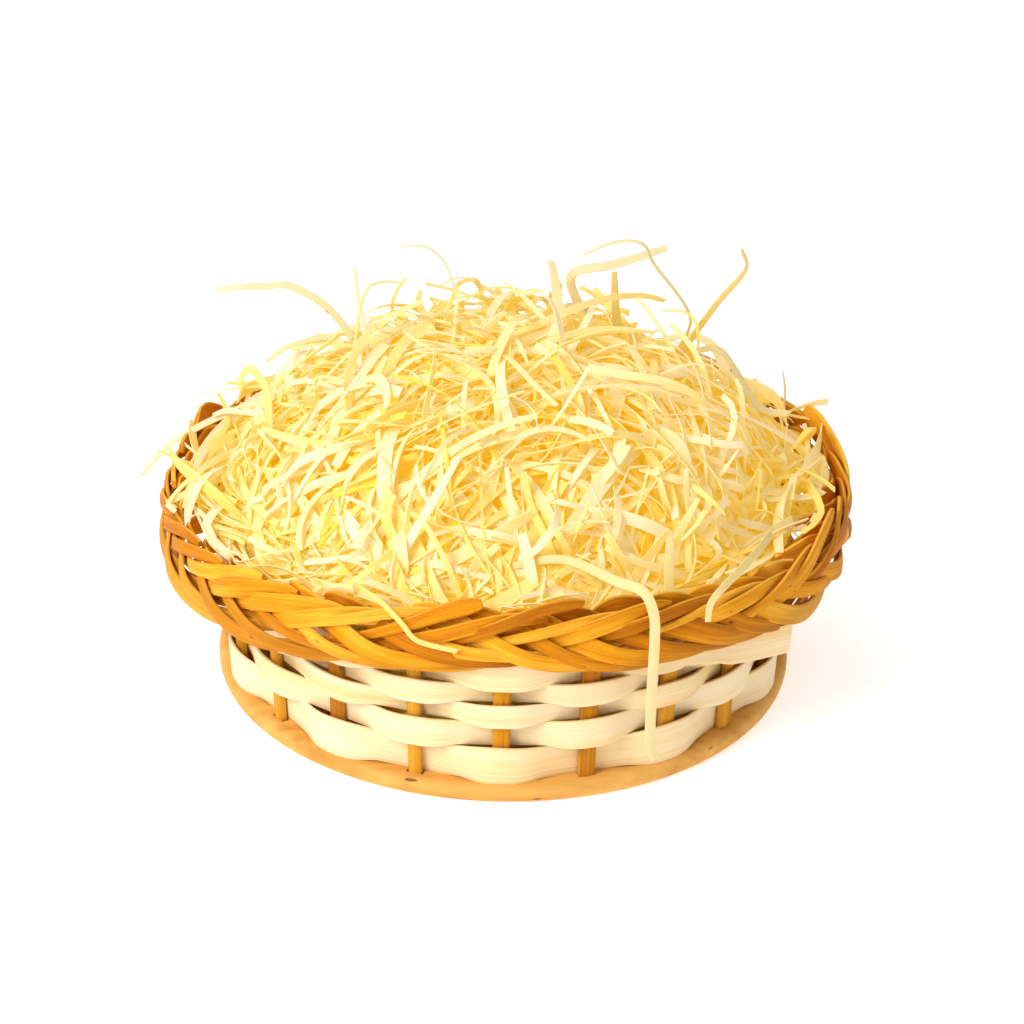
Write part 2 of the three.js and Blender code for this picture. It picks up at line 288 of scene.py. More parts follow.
class Value:
    """A value that changes over a surface. An expression on it adds its Math nodes."""

    def __init__(self, finish, socket):
        self.finish = finish
        self.socket = socket

    def _math(self, operation, first, second=0.0):
        return self.finish.node("Math", {"operation": operation}, {0: first, 1: second})

    def whole(self):
        return self._math("FLOOR", self)

    def __add__(self, other):
        return self._math("ADD", self, other)

    __radd__ = __add__

    def __sub__(self, other):
        return self._math("SUBTRACT", self, other)

    def __rsub__(self, other):
        return self._math("SUBTRACT", other, self)

    def __mul__(self, other):
        return self._math("MULTIPLY", self, other)

    __rmul__ = __mul__

    def size(self):
        return self._math("ABSOLUTE", self)

    def part(self):
        return self._math("FRACT", self)

    def between(self, low, high):
        """0 below low, 1 above high, and smooth between them."""
        settings = {"interpolation_type": "SMOOTHSTEP"}
        return self.finish.node("MapRange", settings, {0: self, 1: low, 2: high})


class Finish:
    """A material, made from node expressions."""

    def __init__(self, name, **constants):
        self.material = bpy.data.materials.new(name)
        self.material.use_nodes = True
        self.tree = self.material.node_tree
        self.shader = self.tree.nodes["Principled BSDF"]
        for socket, value in constants.items():
            label = socket.replace("_", " ").title().replace("Ior", "IOR")
            self.shader.inputs[label].default_value = value

    def node(self, kind, settings=None, inputs=None, output=0):
        new = self.tree.nodes.new("ShaderNode" + kind)
        for key, value in (settings or {}).items():
            if key == "stops":
                self.set_stops(new.color_ramp, value)
            else:
                setattr(new, key, value)
        for key, value in (inputs or {}).items():
            self.feed(new.inputs[key], value)
        return Value(self, new.outputs[output])

    def feed(self, socket, value):
        if isinstance(value, Value):
            self.tree.links.new(value.socket, socket)
        elif isinstance(value, tuple) and len(value) == 3 and socket.type == "RGBA":
            socket.default_value = (*value, 1)
        else:
            socket.default_value = value

    @staticmethod
    def set_stops(ramp, stops):
        while len(ramp.elements) < len(stops):
            ramp.elements.new(0.5)
        for element, (place, colour) in zip(ramp.elements, stops):
            element.position = place
            element.color = (*colour, 1)

    def grain_map(self, along, across):
        """The piece's own map, stretched: features per metre along, and per width across."""
        uv = self.node("UVMap", {"uv_map": "grain"})
        scale = {"Vector": uv, "Scale": (along, across, 1)}
        return self.node("Mapping", {}, scale)

    def across(self):
        """The share of the width at each place, from 0 at one edge to 1 at the other."""
        uv = self.node("UVMap", {"uv_map": "grain"})
        return self.node("SeparateXYZ", {}, {0: uv}, output=1).part()

    def own_tone(self):
        """One random number for each rod, strip or shaving."""
        uv = self.node("UVMap", {"uv_map": "grain"})
        number = self.node("SeparateXYZ", {}, {0: uv}, output=1).whole()
        return self.node("TexWhiteNoise", {"noise_dimensions": "1D"}, {"W": number})

    def place(self):
        return self.node("TexCoord", {}, {}, output=3)

    def height(self):
        return self.node("SeparateXYZ", {}, {0: self.place()}, output=2)

    def noise(self, vector, scale=1.0, detail=3.0, roughness=0.5):
        inputs = {"Vector": vector, "Scale": scale, "Detail": detail, "Roughness": roughness}
        return self.node("TexNoise", {}, inputs)

    def ramp(self, value, *stops):
        return self.node("ValToRGB", {"stops": stops}, {0: value})

    def mix(self, factor, first, second):
        settings = {"data_type": "RGBA"}
        return self.node("Mix", settings, {0: factor, 6: first, 7: second}, output=2)

    def let_light_through(self, colour, share):
        """Thin wood glows a little where the light is behind it."""
        glow = self.node("BsdfTranslucent", {}, {"Color": colour})
        wood = Value(self, self.shader.outputs[0])
        surface = self.node("MixShader", {}, {0: share, 1: wood, 2: glow})
        self.tree.links.new(surface.socket, self.tree.nodes["Material Output"].inputs["Surface"])

    def show(self, colour, roughness, height, depth):
        self.feed(self.shader.inputs["Base Color"], colour)
        self.feed(self.shader.inputs["Roughness"], roughness)
        inputs = {"Height": height, "Distance": depth, "Strength": 1.0}
        self.feed(self.shader.inputs["Normal"], self.node("Bump", {}, inputs))
        return self.material


def willow_finish():
    """Split willow: orange-brown, streaked along the rod, darker where the bark line shows and
    paler on the cut edges."""
    finish = Finish("split willow", specular_ior_level=0.08)
    broad = finish.noise(finish.grain_map(22, 1.3), detail=2)
    streaks = finish.noise(finish.grain_map(30, 9), detail=5, roughness=0.62)
    fibres = finish.noise(finish.grain_map(70, 34), detail=3, roughness=0.7)
    tone = broad * 0.38 + streaks * 0.34 + finish.own_tone() * 0.28
    colour = finish.ramp(
        tone,
        (0.32, (0.42, 0.12, 0.002)),
        (0.44, (0.66, 0.22, 0.004)),
        (0.54, (0.82, 0.33, 0.008)),
        (0.66, (0.94, 0.48, 0.045)),
    )
    fibre_lines = fibres.between(0.52, 0.68)
    colour = finish.mix(fibre_lines * 0.45, colour, (0.34, 0.10, 0.006))
    edge = ((finish.across() - 0.5).size() * 2).between(0.86, 0.97)
    colour = finish.mix(edge * 0.5, colour, (0.93, 0.54, 0.07))
    specks = finish.noise(finish.grain_map(210, 2.4), detail=1).between(0.735, 0.78)
    colour = finish.mix(specks * 0.8, colour, (0.12, 0.035, 0.006))
    # painted shade: below the wall's top the legs are darkened towards dull brown, for the shade they
    # stand in
    shaded_legs = 1 - finish.height().between(WALL_TOP - 0.004, WALL_TOP + 0.003)
    colour = finish.mix(shaded_legs * 0.42, colour, (0.40, 0.17, 0.018))
    roughness = 0.42 + fibres * 0.3
    return finish.show(colour, roughness, streaks * 0.6 + fibres * 0.5, 0.0004)


def strip_finish():
    """Flat weaving strips of pale veneer, with fine grain, faint tan streaks and small knots."""
    finish = Finish("pale veneer strip", specular_ior_level=0.25)
    broad = finish.noise(finish.grain_map(9, 1.1), detail=2)
    streaks = finish.noise(finish.grain_map(12, 16), detail=4, roughness=0.6)
    fibres = finish.noise(finish.grain_map(45, 90), detail=3, roughness=0.7)
    colour = finish.ramp(
        broad * 0.6 + streaks * 0.4,
        (0.30, (0.80, 0.50, 0.19)),
        (0.44, (0.88, 0.64, 0.31)),
        (0.56, (0.92, 0.73, 0.44)),
        (0.70, (0.95, 0.78, 0.56)),
    )
    colour = finish.mix(fibres.between(0.5, 0.75) * 0.3, colour, (0.80, 0.56, 0.28))
    knots, ring = knot_marks(finish)
    colour = finish.mix(ring * 0.55, colour, (0.72, 0.47, 0.20))
    colour = finish.mix(knots * 0.85, colour, (0.16, 0.08, 0.03))
    edge = ((finish.across() - 0.5).size() * 2).between(0.93, 0.99)
    colour = finish.mix(edge * 0.35, colour, (0.70, 0.45, 0.20))
    height = streaks * 0.3 + fibres * 0.7 - knots
    return finish.show(colour, 0.5 + fibres * 0.2, height, 0.00018)


def knot_marks(finish):
    """A few small oval knots, and the darker grain around each."""
    cells = finish.node(
        "TexVoronoi", {"feature": "F1"},
        {"Vector": finish.grain_map(15, 0.85), "Scale": 1.0, "Randomness": 0.9},
    )
    knots = 1 - cells.between(0.03, 0.055)
    ring = 1 - cells.between(0.05, 0.15)
    return knots, ring


def board_finish():
    """The base board: plain tan wood, faint grain across it and small nicks on its edge."""
    finish = Finish("tan base board", specular_ior_level=0.3)
    place = finish.place()
    grain_line = finish.node("Mapping", {}, {"Vector": place, "Scale": (14, 160, 160)})
    grain = finish.noise(grain_line, detail=4, roughness=0.6)
    broad = finish.noise(place, scale=28, detail=2)
    colour = finish.ramp(
        grain * 0.55 + broad * 0.45,
        (0.32, (0.50, 0.21, 0.03)),
        (0.46, (0.68, 0.33, 0.06)),
        (0.60, (0.78, 0.42, 0.095)),
        (0.74, (0.85, 0.51, 0.16)),
    )
    nick_place = finish.node("Mapping", {}, {"Vector": place, "Scale": (75, 75, 330)})
    nicks = finish.noise(nick_place, detail=2).between(0.715, 0.74)
    colour = finish.mix(nicks * 0.85, colour, (0.13, 0.05, 0.015))
    return finish.show(colour, 0.5 + grain * 0.25, grain - nicks, 0.00025)


def wool_finish(name, glow, share, light_and_shade_tint):
    """Wood wool: thin pale shavings, each with its own tone from cream to straw yellow. The glow is
    emission, painted light that stands for the light coming through the loose shavings; deep in the
    basket, below the wall's top, it is turned off."""
    finish = Finish(name, specular_ior_level=0.2, emission_strength=glow)
    height = finish.height()
    # painted light: emission colour, full above the wall's top and none below it
    lit = height.between(WALL_TOP - 0.004, WALL_TOP + 0.010)
    painted_glow_colour = finish.mix(lit, (0, 0, 0), (1.0, 0.74, 0.0))
    finish.feed(finish.shader.inputs["Emission Color"], painted_glow_colour)
    tone = finish.noise(finish.grain_map(4, 1.7), detail=1)
    streaks = finish.noise(finish.grain_map(30, 12), detail=4, roughness=0.65)
    fibres = finish.noise(finish.grain_map(120, 30), detail=2)
    colour = finish.ramp(
        tone * 0.3 + streaks * 0.3 + finish.own_tone() * 0.4,
        (0.22, (0.92, 0.71, 0.07)),
        (0.38, (0.95, 0.79, 0.24)),
        (0.52, (0.96, 0.84, 0.50)),
        (0.68, (0.95, 0.85, 0.68)),
    )
    # painted light: shavings high on the heap are turned paler, towards cream
    colour = finish.mix(height.between(0.080, 0.125) * 0.55, colour, (0.96, 0.87, 0.66))
    # painted light and shade: the colour is moved towards the tint by share, paler cream on the lit copy,
    # saturated yellow on the shaded copy
    colour = finish.mix(share, colour, light_and_shade_tint)
    colour = finish.mix(fibres.between(0.55, 0.75) * 0.25, colour, (0.92, 0.66, 0.08))
    specks = finish.noise(finish.grain_map(160, 3), detail=1).between(0.76, 0.79)
    colour = finish.mix(specks * 0.8, colour, (0.30, 0.12, 0.03))
    finish.let_light_through(colour, 0.3)
    return finish.show(colour, 0.62 + fibres * 0.2, streaks * 0.5 + fibres * 0.5, 0.00015)


# ---------------------------------------------------------------- the board

def base_board(material):
    """A disc with a rounded edge, and a slot for each stake."""
    bpy.ops.object.select_all(action="DESELECT")
    bpy.ops.mesh.primitive_cylinder_add(
        vertices=180, radius=BASE_RADIUS, depth=BOARD_TOP, location=(0, 0, BOARD_TOP / 2)
    )
    board = bpy.context.object
    board.name = "round_board"
    bpy.ops.object.transform_apply(location=True, rotation=True, scale=True)
    bpy.ops.object.mode_set(mode="EDIT")
    rim = BASE_RADIUS * 0.99
    select_by(board, "EDGE", lambda co, run: co.xy.length > rim and abs(run.z) < BOARD_TOP / 2)
    bpy.ops.mesh.bevel(offset=BASE_EDGE_ROUND, segments=5, profile=0.5, affect="EDGES")
    bpy.ops.object.mode_set(mode="OBJECT")
    cutter = slot_cutter()
    only(board)
    cut = board.modifiers.new("slots", "BOOLEAN")
    cut.operation = "DIFFERENCE"
    cut.object = cutter
    bpy.ops.object.modifier_apply(modifier=cut.name)
    bpy.data.objects.remove(cutter)
    bpy.ops.object.shade_smooth_by_angle(angle=math.radians(35))
    finish_piece(board, "basket", "board", material, "base_board")


def slot_cutter():
    """The bars that cut the stakes' slots, joined."""
    bars = []
    for i in range(STAKE_COUNT):
        bpy.ops.object.select_all(action="DESELECT")
        bpy.ops.mesh.primitive_cube_add(size=1, location=around(i * PITCH, FOOT_RADIUS, 0))
        bar = bpy.context.object
        bar.scale = (
            STAKE_WIDTH + 2 * SLOT_ROOM, STAKE_THICKNESS + 2 * SLOT_ROOM, 3 * BOARD_TOP,
        )
        bar.rotation_euler.z = i * PITCH
        bpy.ops.object.transform_apply(location=True, rotation=True, scale=True)
        bars.append(bar)
    only(bars[0])
    for bar in bars:
        bar.select_set(True)
    bpy.ops.object.join()
    return bpy.context.object


# ---------------------------------------------------------------- the stakes and the rim

RISE_POINTS = 14
PLAIT_POINTS = 64
WALL_POINTS = 8
TAIL_SECTIONS = RISE_POINTS + PLAIT_POINTS


def plait_point(crest_angle, turn):
    """A tail's place in the plait: its turn is 0 and 1 at the crest and a half at the bottom."""
    angle = crest_angle + turn * TAIL_SPAN
    sway = np.sin(4 * np.pi * turn) - 0.25 * np.sin(8 * np.pi * turn)
    height = rim_height(angle) + RIM_HALF_HEIGHT * np.cos(2 * np.pi * turn)
    return around(angle, rim_radius(angle) - RIM_HALF_DEPTH * sway, height)


def tail_path(angle, radius, tip, stand=0.0):
    """From the top of the wall up into the plait, and round it to the tip, which may stand up."""
    start = around(angle, radius, WALL_TOP + SLOT_ROOM)
    crest = angle + TAIL_LEAD / rim_radius(angle) - TAIL_JOINS * TAIL_SPAN
    join = plait_point(crest, TAIL_JOINS)
    heading = unit(plait_point(crest, TAIL_JOINS + 0.01) - join)
    climb = join[2] - start[2]
    upward = np.array([0, 0, RISE_PULL + climb / 2])
    pulls = [start, start + upward, join - TAIL_SWEEP * heading, join]
    t = np.linspace(0, 1, RISE_POINTS, endpoint=False)[:, None]
    rise = (
        (1 - t) ** 3 * pulls[0]
        + 3 * (1 - t) ** 2 * t * pulls[1]
        + 3 * (1 - t) * t * t * pulls[2]
        + t**3 * pulls[3]
    )
    turns = np.linspace(TAIL_JOINS, 1 + tip, PLAIT_POINTS)
    plait = plait_point(crest, turns)
    plait[:, 2] += stand * np.clip((turns - 0.88) / (0.12 + tip), 0, 1) ** 1.5
    return np.vstack([rise, plait])


def natural_rod(points, draw):
    """A rod is never quite true: it strays a little in and out, and up and down."""
    count = len(points)
    settled = np.clip(np.arange(count) / (WALL_POINTS + RISE_POINTS) - 0.6, 0, 1)
    angle = np.arctan2(points[:, 0], -points[:, 1])
    outward = around(angle, 1.0, 0.0)
    strays = wander(draw, count, 0.00035, 7) * settled
    lifts = wander(draw, count, 0.0023, 4) * settled
    return points + outward * strays[:, None] + np.array([0, 0, 1]) * lifts[:, None]


def rod_piece(rod, name, node, points, first_width, first_thickness, stand, number, material):
    """One rod, laid along its points. An end that stands up out of the rim is a broad one."""
    draw = np.random.default_rng(100 + number)
    count = len(points)
    place = np.arange(count)
    ease = np.clip((place - WALL_POINTS) / RISE_POINTS, 0, 1)
    width = first_width + (1 - first_width) * ease
    from_join = (place - WALL_POINTS - RISE_POINTS) / SPLAY_POINTS
    splay = draw.uniform(0.6, 1.2) * np.exp(-(from_join ** 2))
    width = width * (1 + wander(draw, count, 0.14, 4) + draw.uniform(-0.15, 0.8) * ease + splay)
    width = width * (1 + stand * TIP_BROADENING * np.clip((place - count + 16) / 10, 0, 1))
    thickness = first_thickness + (1 - first_thickness) * np.clip(2 * ease, 0, 1)
    points = natural_rod(points, draw)
    width[-3:] *= [0.92, 0.78, 0.5]
    facing = points * [1, 1, 0]
    piece = lay_along(rod, name, points, facing, width, thickness, draw.uniform(-1, 1), number)
    finish_piece(piece, "basket", "willow", material, node)


STANDING_STAKES = {10: 0.006, 2: 0.002, 13: 0.004, 6: 0.004}
STANDING_RODS = {9: 0.007, 1: 0.003, 15: 0.003}
SPLAY_POINTS = 9  # a rod is broadest for this many points each way from where it joins the plait
TIP_BROADENING = 110  # share of the width that a tip gains for each metre that it stands up


def plaited_stakes(material):
    """Each stake's foot in the board, its leg up the wall and its tail in the rim; then the
    bye-stakes, pushed down inside the wall between them."""
    sections = WALL_POINTS + TAIL_SECTIONS - 1
    crowned = [0, 0.22, 0.3, 0.22, 0]
    grooved = [0, 0.24, 0.1, 0.3, 0.24, 0.08, 0]
    rods = [
        straight_strip("rod_crowned", TAIL_WIDTH, TAIL_THICKNESS, sections, crowned, 0.0003),
        straight_strip("rod_grooved", TAIL_WIDTH, TAIL_THICKNESS, sections, grooved, 0.0003),
    ]
    tips = np.random.default_rng(7)
    for i in range(STAKE_COUNT):
        angle = i * PITCH
        heights = np.linspace(STAKE_FOOT, WALL_TOP - BEND_START, WALL_POINTS)
        leg = around(angle, np.maximum(wall_radius(heights), FOOT_RADIUS), heights)
        tip = tips.uniform(0.02, 0.07)
        stand = STANDING_STAKES.get(i, 0)
        points = np.vstack([leg, tail_path(angle, WALL_TOP_RADIUS, tip, stand)])
        rod_piece(
            rods[i % 3 == 0], f"split_stake_{i + 1:02d}", f"stake_{i + 1:02d}", points,
            STAKE_WIDTH / TAIL_WIDTH, STAKE_THICKNESS / TAIL_THICKNESS, stand, i, material,
        )
    for i in range(STAKE_COUNT):
        angle = i * PITCH + BYE_OFFSET
        heights = np.linspace(WALL_TOP - BYE_DEPTH, WALL_TOP - BEND_START, WALL_POINTS)
        leg = around(angle, wall_radius(heights) - BYE_INSET, heights)
        inside = WALL_TOP_RADIUS - BYE_INSET
        stand = STANDING_RODS.get(i, 0)
        tail = tail_path((i + 0.5) * PITCH, inside, tips.uniform(0.02, 0.07), stand)
        rod_piece(
            rods[i % 4 == 1], f"rim_rod_{i + 1:02d}", f"bye_stake_{i + 1:02d}",
            np.vstack([leg, tail]), 1, 1, stand, 40 + i, material,
        )
    for rod in rods:
        bpy.data.objects.remove(rod)


# ---------------------------------------------------------------- the woven strips

BULGE = 1.45  # it springs further out round a stake than it goes in behind one
FLAT = 0.08
END = 0.15
LAP_RAMP = 0.35
LAP_OUT = 0.00145  # how far out a strip's last stretch lies over its own start
STAKE_SPREAD = 0.0014  # how much wider a strip gets where it bends round a stake
SECTIONS_PER_PITCH = 14


def weave(place):
    """How far out a strip is, at a place in pitches from half way before its first stake."""
    stake = np.floor(place)
    from_stake = np.abs(place - stake - 0.5)
    swing = np.sin(np.pi / 2 * np.clip((0.5 - from_stake) / (0.5 - FLAT), 0, 1))
    return WEAVE_DEPTH * np.where(stake % 2 == 0, BULGE * swing, -swing)


def woven_strip(row, material):
    height = ROW_HEIGHTS[row]
    first = ROW_FIRST_STAKES[row]
    middle = WALL_BOTTOM + sum(ROW_HEIGHTS[:row]) + row * ROW_GAP + height / 2
    is_top = row == len(ROW_HEIGHTS) - 1
    end = STAKE_COUNT + 0.5 + FLAT + FREE_END_ANGLE / PITCH if is_top else STAKE_COUNT + 1 - END
    count = int((end - END) * SECTIONS_PER_PITCH) + 1
    place = np.linspace(END, end, count)
    angle = (first - 0.5 + place) * PITCH
    lap = LAP_OUT * np.clip((place - STAKE_COUNT) / LAP_RAMP + 1, 0, 1)
    swing = weave(place)
    drop = np.zeros(count)
    if is_top:
        run = np.clip((place - STAKE_COUNT - 0.5 - FLAT) / (FREE_END_ANGLE / PITCH), 0, 1)
        loose = run > 0
        swing = np.where(loose, WEAVE_DEPTH + FREE_END_REACH * run**1.5, swing)
        under_rim = rim_height(angle) - RIM_HALF_HEIGHT - TAIL_WIDTH / 2 - FREE_END_GAP - height / 2
        drop = np.where(loose, (middle - under_rim) * np.clip(2 * run, 0, 1), 0)
    draw = np.random.default_rng(20 + row)
    stray = wander(draw, count, 0.00012, 40)
    lift = wander(draw, count, 0.00022, 40)
    points = around(angle, wall_radius(middle) + swing + lap + stray, middle - drop + lift)
    lean = math.atan2(WALL_FLARE, WALL_TOP - BOARD_TOP)
    facing = around(angle, math.cos(lean), -math.sin(lean))
    spread = STAKE_SPREAD * np.abs(weave(place)) / WEAVE_DEPTH
    width = 1 + spread / height + wander(draw, count, 0.012, 60)
    blank = straight_strip(f"blank_{row}", height, STRIP_THICKNESS, count - 1, [0] * 7, 0.00028)
    piece = lay_along(blank, f"weaver_{row + 1}", points, facing, width, grain=60 + row)
    bpy.data.objects.remove(blank)
    finish_piece(piece, "basket", "strip", material, f"woven_strip_{row + 1}")


# ---------------------------------------------------------------- the wood wool

SHAVING_STEPS = 14


def shaving_blank():
    """One straight shaving: width 1, thickness 1, length 1."""
    bpy.ops.object.select_all(action="DESELECT")
    bpy.ops.mesh.primitive_grid_add(
        x_subdivisions=SHAVING_STEPS, y_subdivisions=1, size=1, location=(0.5, 0, -0.5)
    )
    blank = bpy.context.object
    bpy.ops.object.transform_apply(location=True, rotation=True, scale=True)
    bpy.ops.object.mode_set(mode="EDIT")
    bpy.ops.mesh.extrude_region_move(TRANSFORM_OT_translate={"value": (0, 0, 1)})
    bpy.ops.mesh.select_all(action="SELECT")
    bpy.ops.mesh.normals_make_consistent(inside=False)
    bpy.ops.object.mode_set(mode="OBJECT")
    return blank


def shavings(blank, name, lines, facings, widths, thicknesses, first_grain):
    """Many copies of the blank in one mesh, each bent along its own line."""
    straight = coordinates(blank.data)
    faces = np.array([list(face.vertices) for face in blank.data.polygons])
    station = np.rint(straight[:, 0] * SHAVING_STEPS).astype(int)
    count = len(lines)
    along = unit(np.gradient(lines, axis=1))
    out = unit(facings - along * np.sum(facings * along, axis=2, keepdims=True))
    across = np.cross(out, along)
    y = straight[:, 1] * widths[:, station]
    z = straight[:, 2] * thicknesses[:, None]
    bent = lines[:, station] + across[:, station] * y[..., None] + out[:, station] * z[..., None]
    shift = np.arange(count)[:, None, None] * len(straight)
    mesh = bpy.data.meshes.new(name)
    corners = (faces[None] + shift).reshape(-1, 4)
    mesh.from_pydata(bent.reshape(-1, 3).tolist(), [], corners.tolist())
    length = np.linalg.norm(np.diff(lines, axis=1), axis=2).sum(axis=1)
    number = first_grain + np.arange(count)
    u = straight[:, 0] * length[:, None] + 0.61 * number[:, None]
    v = straight[:, 1] * 0.9 + 0.5 + number[:, None]
    set_grain_map(mesh, u.ravel(), v.ravel())
    piece = bpy.data.objects.new(name, mesh)
    bpy.context.scene.collection.objects.link(piece)
    only(piece)
    bpy.ops.object.shade_smooth_by_angle(angle=math.radians(40))
    return piece


RIM_ROOM = 0.0048  # from the rim's middle line in to the nearest shaving
OVER_RIM = 0.013  # shavings this far above the rim's middle line may reach out over it


def inside_rim(points):
    """Keeps shavings where they can be lifted out: off the wall and the rim."""
    radius = np.linalg.norm(points[..., :2], axis=-1)
    angle = np.arctan2(points[..., 0], -points[..., 1])
    above = np.clip((points[..., 2] - WALL_TOP) / 0.012, 0, 1)
    above = above * above * (3 - 2 * above)
    at_rim = rim_radius(angle) - RIM_ROOM
    most = HEAP_RADIUS + (at_rim - HEAP_RADIUS) * above
    over = np.clip((points[..., 2] - rim_height(angle) - OVER_RIM) / 0.006, 0, 1)
    most = most + over * 0.02
    share = np.minimum(1, most / np.maximum(radius, 1e-6))
    return points * np.stack([share, share, np.ones_like(share)], axis=-1)


MOST_BEND = 0.42  # radians that a shaving turns at one step
HEADING_SPREAD = 0.7  # radians from straight downhill
CURLY_SHARE = 0.16
CURLY_TURN = 2.2  # how many times as much a curly shaving turns


def tangled_lines(draw, count, depth, spread, length, curl, lift, tilt):
    """Lines that wander over the dome: depth is how far above it they lie, spread how much
    that differs, lift how far they rise and dip along their way, and tilt how far one end
    stands up."""
    radius = HEAP_RADIUS * np.sqrt(draw.uniform(0, 1, count)) * 1.03
    angle = draw.uniform(0, 2 * np.pi, count)
    x, y = radius * np.sin(angle), -radius * np.cos(angle)
    downhill = np.arctan2(y, x) + np.pi * draw.integers(0, 2, count)
    heading = downhill + draw.normal(0, HEADING_SPREAD, count)
    step = draw.uniform(*length, count) / SHAVING_STEPS
    curly = np.where(draw.uniform(0, 1, count) < CURLY_SHARE, CURLY_TURN, 1.0)
    turn = draw.normal(0, curl, count) * curly
    change = draw.normal(0, curl / 6, count) * curly
    layer = draw.normal(depth, spread, count)
    wave = draw.uniform(0.4, 1.6, count)
    phase = draw.uniform(0, 2 * np.pi, count)
    size = lift * draw.uniform(0.2, 1.6, count)
    flat = [np.stack([x, y], axis=1)]
    for i in range(SHAVING_STEPS):
        heading = heading + np.clip((turn + change * i) * step, -MOST_BEND, MOST_BEND)
        flat.append(flat[-1] + np.stack([np.cos(heading), np.sin(heading)], axis=1) * step[:, None])
    flat = np.stack(flat, axis=1)
    flat = flat - (flat.mean(axis=1) - flat[:, 0])[:, None]
    share = np.linspace(0, 1, SHAVING_STEPS + 1)
    rise = size[:, None] * np.sin(2 * np.pi * wave[:, None] * share + phase[:, None])
    stand = np.abs(draw.normal(0, tilt, count))[:, None] * (share**1.5)
    near_top = np.clip(1.25 - np.linalg.norm(flat, axis=-1) / HEAP_RADIUS, 0.3, 1)
    return on_dome(flat, layer[:, None] + rise * np.sqrt(near_top) + stand * near_top)


SHOULDER_SLOPE = 1.18  # over 1, the loose wool falls away from the top sooner than a dome does


def on_dome(flat, above):
    """Places a flat layout on the dome, a height above it, bending down over its shoulder."""
    radius = np.linalg.norm(flat, axis=-1)
    reach = np.clip(radius / HEAP_RADIUS, 0, 1.6)
    turn = np.clip(reach, 0, 1.25) * 0.92
    out = (HEAP_RADIUS + above) * np.sin(np.minimum(turn * np.pi / 2, np.pi / 2))
    past = np.maximum(turn - 1, 0) * HEAP_RADIUS * np.pi / 2
    fall = np.maximum(np.cos(np.minimum(turn * np.pi / 2, np.pi / 2)), 0) ** SHOULDER_SLOPE
    up = HEAP_MIDDLE + (HEAP_RISE + above) * fall - past
    unit_flat = flat / np.maximum(radius, 1e-6)[..., None]
    return np.concatenate([unit_flat * out[..., None], up[..., None]], axis=-1)


def dome_normals(points):
    middle = points - np.array([0, 0, HEAP_MIDDLE])
    stretch = np.array([1, 1, (HEAP_RADIUS / HEAP_RISE) ** 2])
    return unit(middle * stretch + np.array([0, 0, 1e-6]))


def rolled(draw, lines, facings, roll, twist):
    """Turns each shaving about its own line, by a roll that grows along it."""
    along = unit(np.gradient(lines, axis=1))
    side = np.cross(facings, along)
    share = np.linspace(-0.5, 0.5, lines.shape[1])
    own = draw.normal(0, roll, len(lines))[:, None]
    angle = own + draw.normal(0, twist, len(lines))[:, None] * share
    return facings * np.cos(angle)[..., None] + side * np.sin(angle)[..., None]


def shaving_widths(draw, count, narrow, wide):
    base = SHRED_WIDTH * draw.uniform(narrow, wide, count)
    share = np.linspace(-1, 1, SHAVING_STEPS + 1)
    taper = 1 - draw.uniform(0, 0.5, count)[:, None] * np.abs(share) ** 3
    return base[:, None] * taper


LAYERS = [
    # name, count, height above the dome, its spread, lengths, curl, lift, tilt, widths, roll, twist
    ("wool_deep", 700, -0.0100, 0.0020, (0.04, 0.09), 9, 0.0030, 0.003, (0.4, 1.2), 0.35, 0.8),
    ("wool_middle", 760, -0.0065, 0.0024, (0.035, 0.085), 10, 0.0035, 0.006, (0.3, 1.1), 0.5, 1.2),
    ("wool_upper", 720, -0.0035, 0.0026, (0.030, 0.065), 10, 0.0042, 0.009, (0.25, 1.1), 0.6, 1.5),
    ("wool_top", 460, -0.0010, 0.0026, (0.025, 0.060), 12, 0.0048, 0.011, (0.2, 1.0), 0.7, 2.0),
    ("wool_broad", 110, -0.0005, 0.0015, (0.03, 0.06), 4, 0.0035, 0.005, (1.1, 1.5), 0.4, 1.0),
]


DEEP = -0.005  # shavings laid further than this under the dome's surface are in the shade
EDGE_COUNT = 640
SIDE_COUNT = 300
UNDER_COUNT = 220


def heaped_wool(blank, material, shaded_material):
    grain = 200
    for number, layer in enumerate(LAYERS):
        name, count, depth, spread, length, curl, lift, tilt, widths, roll, twist = layer
        draw = np.random.default_rng(300 + number)
        lines = inside_rim(tangled_lines(draw, count, depth, spread, length, curl, lift, tilt))
        facings = rolled(draw, lines, dome_normals(lines), roll, twist)
        # the deep layers get the copy with painted shade
        finish = shaded_material if depth < DEEP else material
        lay_shavings(blank, name, draw, lines, facings, widths, grain, finish)
        grain += count
    draw = np.random.default_rng(350)
    lines = inside_rim(edge_lines(draw, EDGE_COUNT))
    facings = rolled(draw, lines, np.zeros_like(lines) + np.array([0, 0, 1.0]), 0.6, 1.5)
    lay_shavings(blank, "wool_edge", draw, lines, facings, (0.3, 1.2), grain, material)
    lines = side_lines(draw, SIDE_COUNT)
    facings = rolled(draw, lines, lines * [1, 1, 0], 0.15, 0.3)
    grain += EDGE_COUNT
    lay_shavings(blank, "wool_side", draw, lines, facings, (0.4, 1.3), grain, shaded_material)
    lines = under_lines(draw, UNDER_COUNT)
    facings = rolled(draw, lines, np.zeros_like(lines) - np.array([0, 0, 1.0]), 0.1, 0.2)
    grain += SIDE_COUNT
    lay_shavings(blank, "wool_under", draw, lines, facings, (0.4, 1.3), grain, shaded_material)


def lay_shavings(blank, name, draw, lines, facings, widths, grain, material):
    count = len(lines)
    thickness = draw.uniform(0.00025, 0.00045, count)
    width = shaving_widths(draw, count, *widths)
    piece = shavings(blank, name, lines, facings, width, thickness, grain)
    finish_piece(piece, "filling", "wood_wool", material)


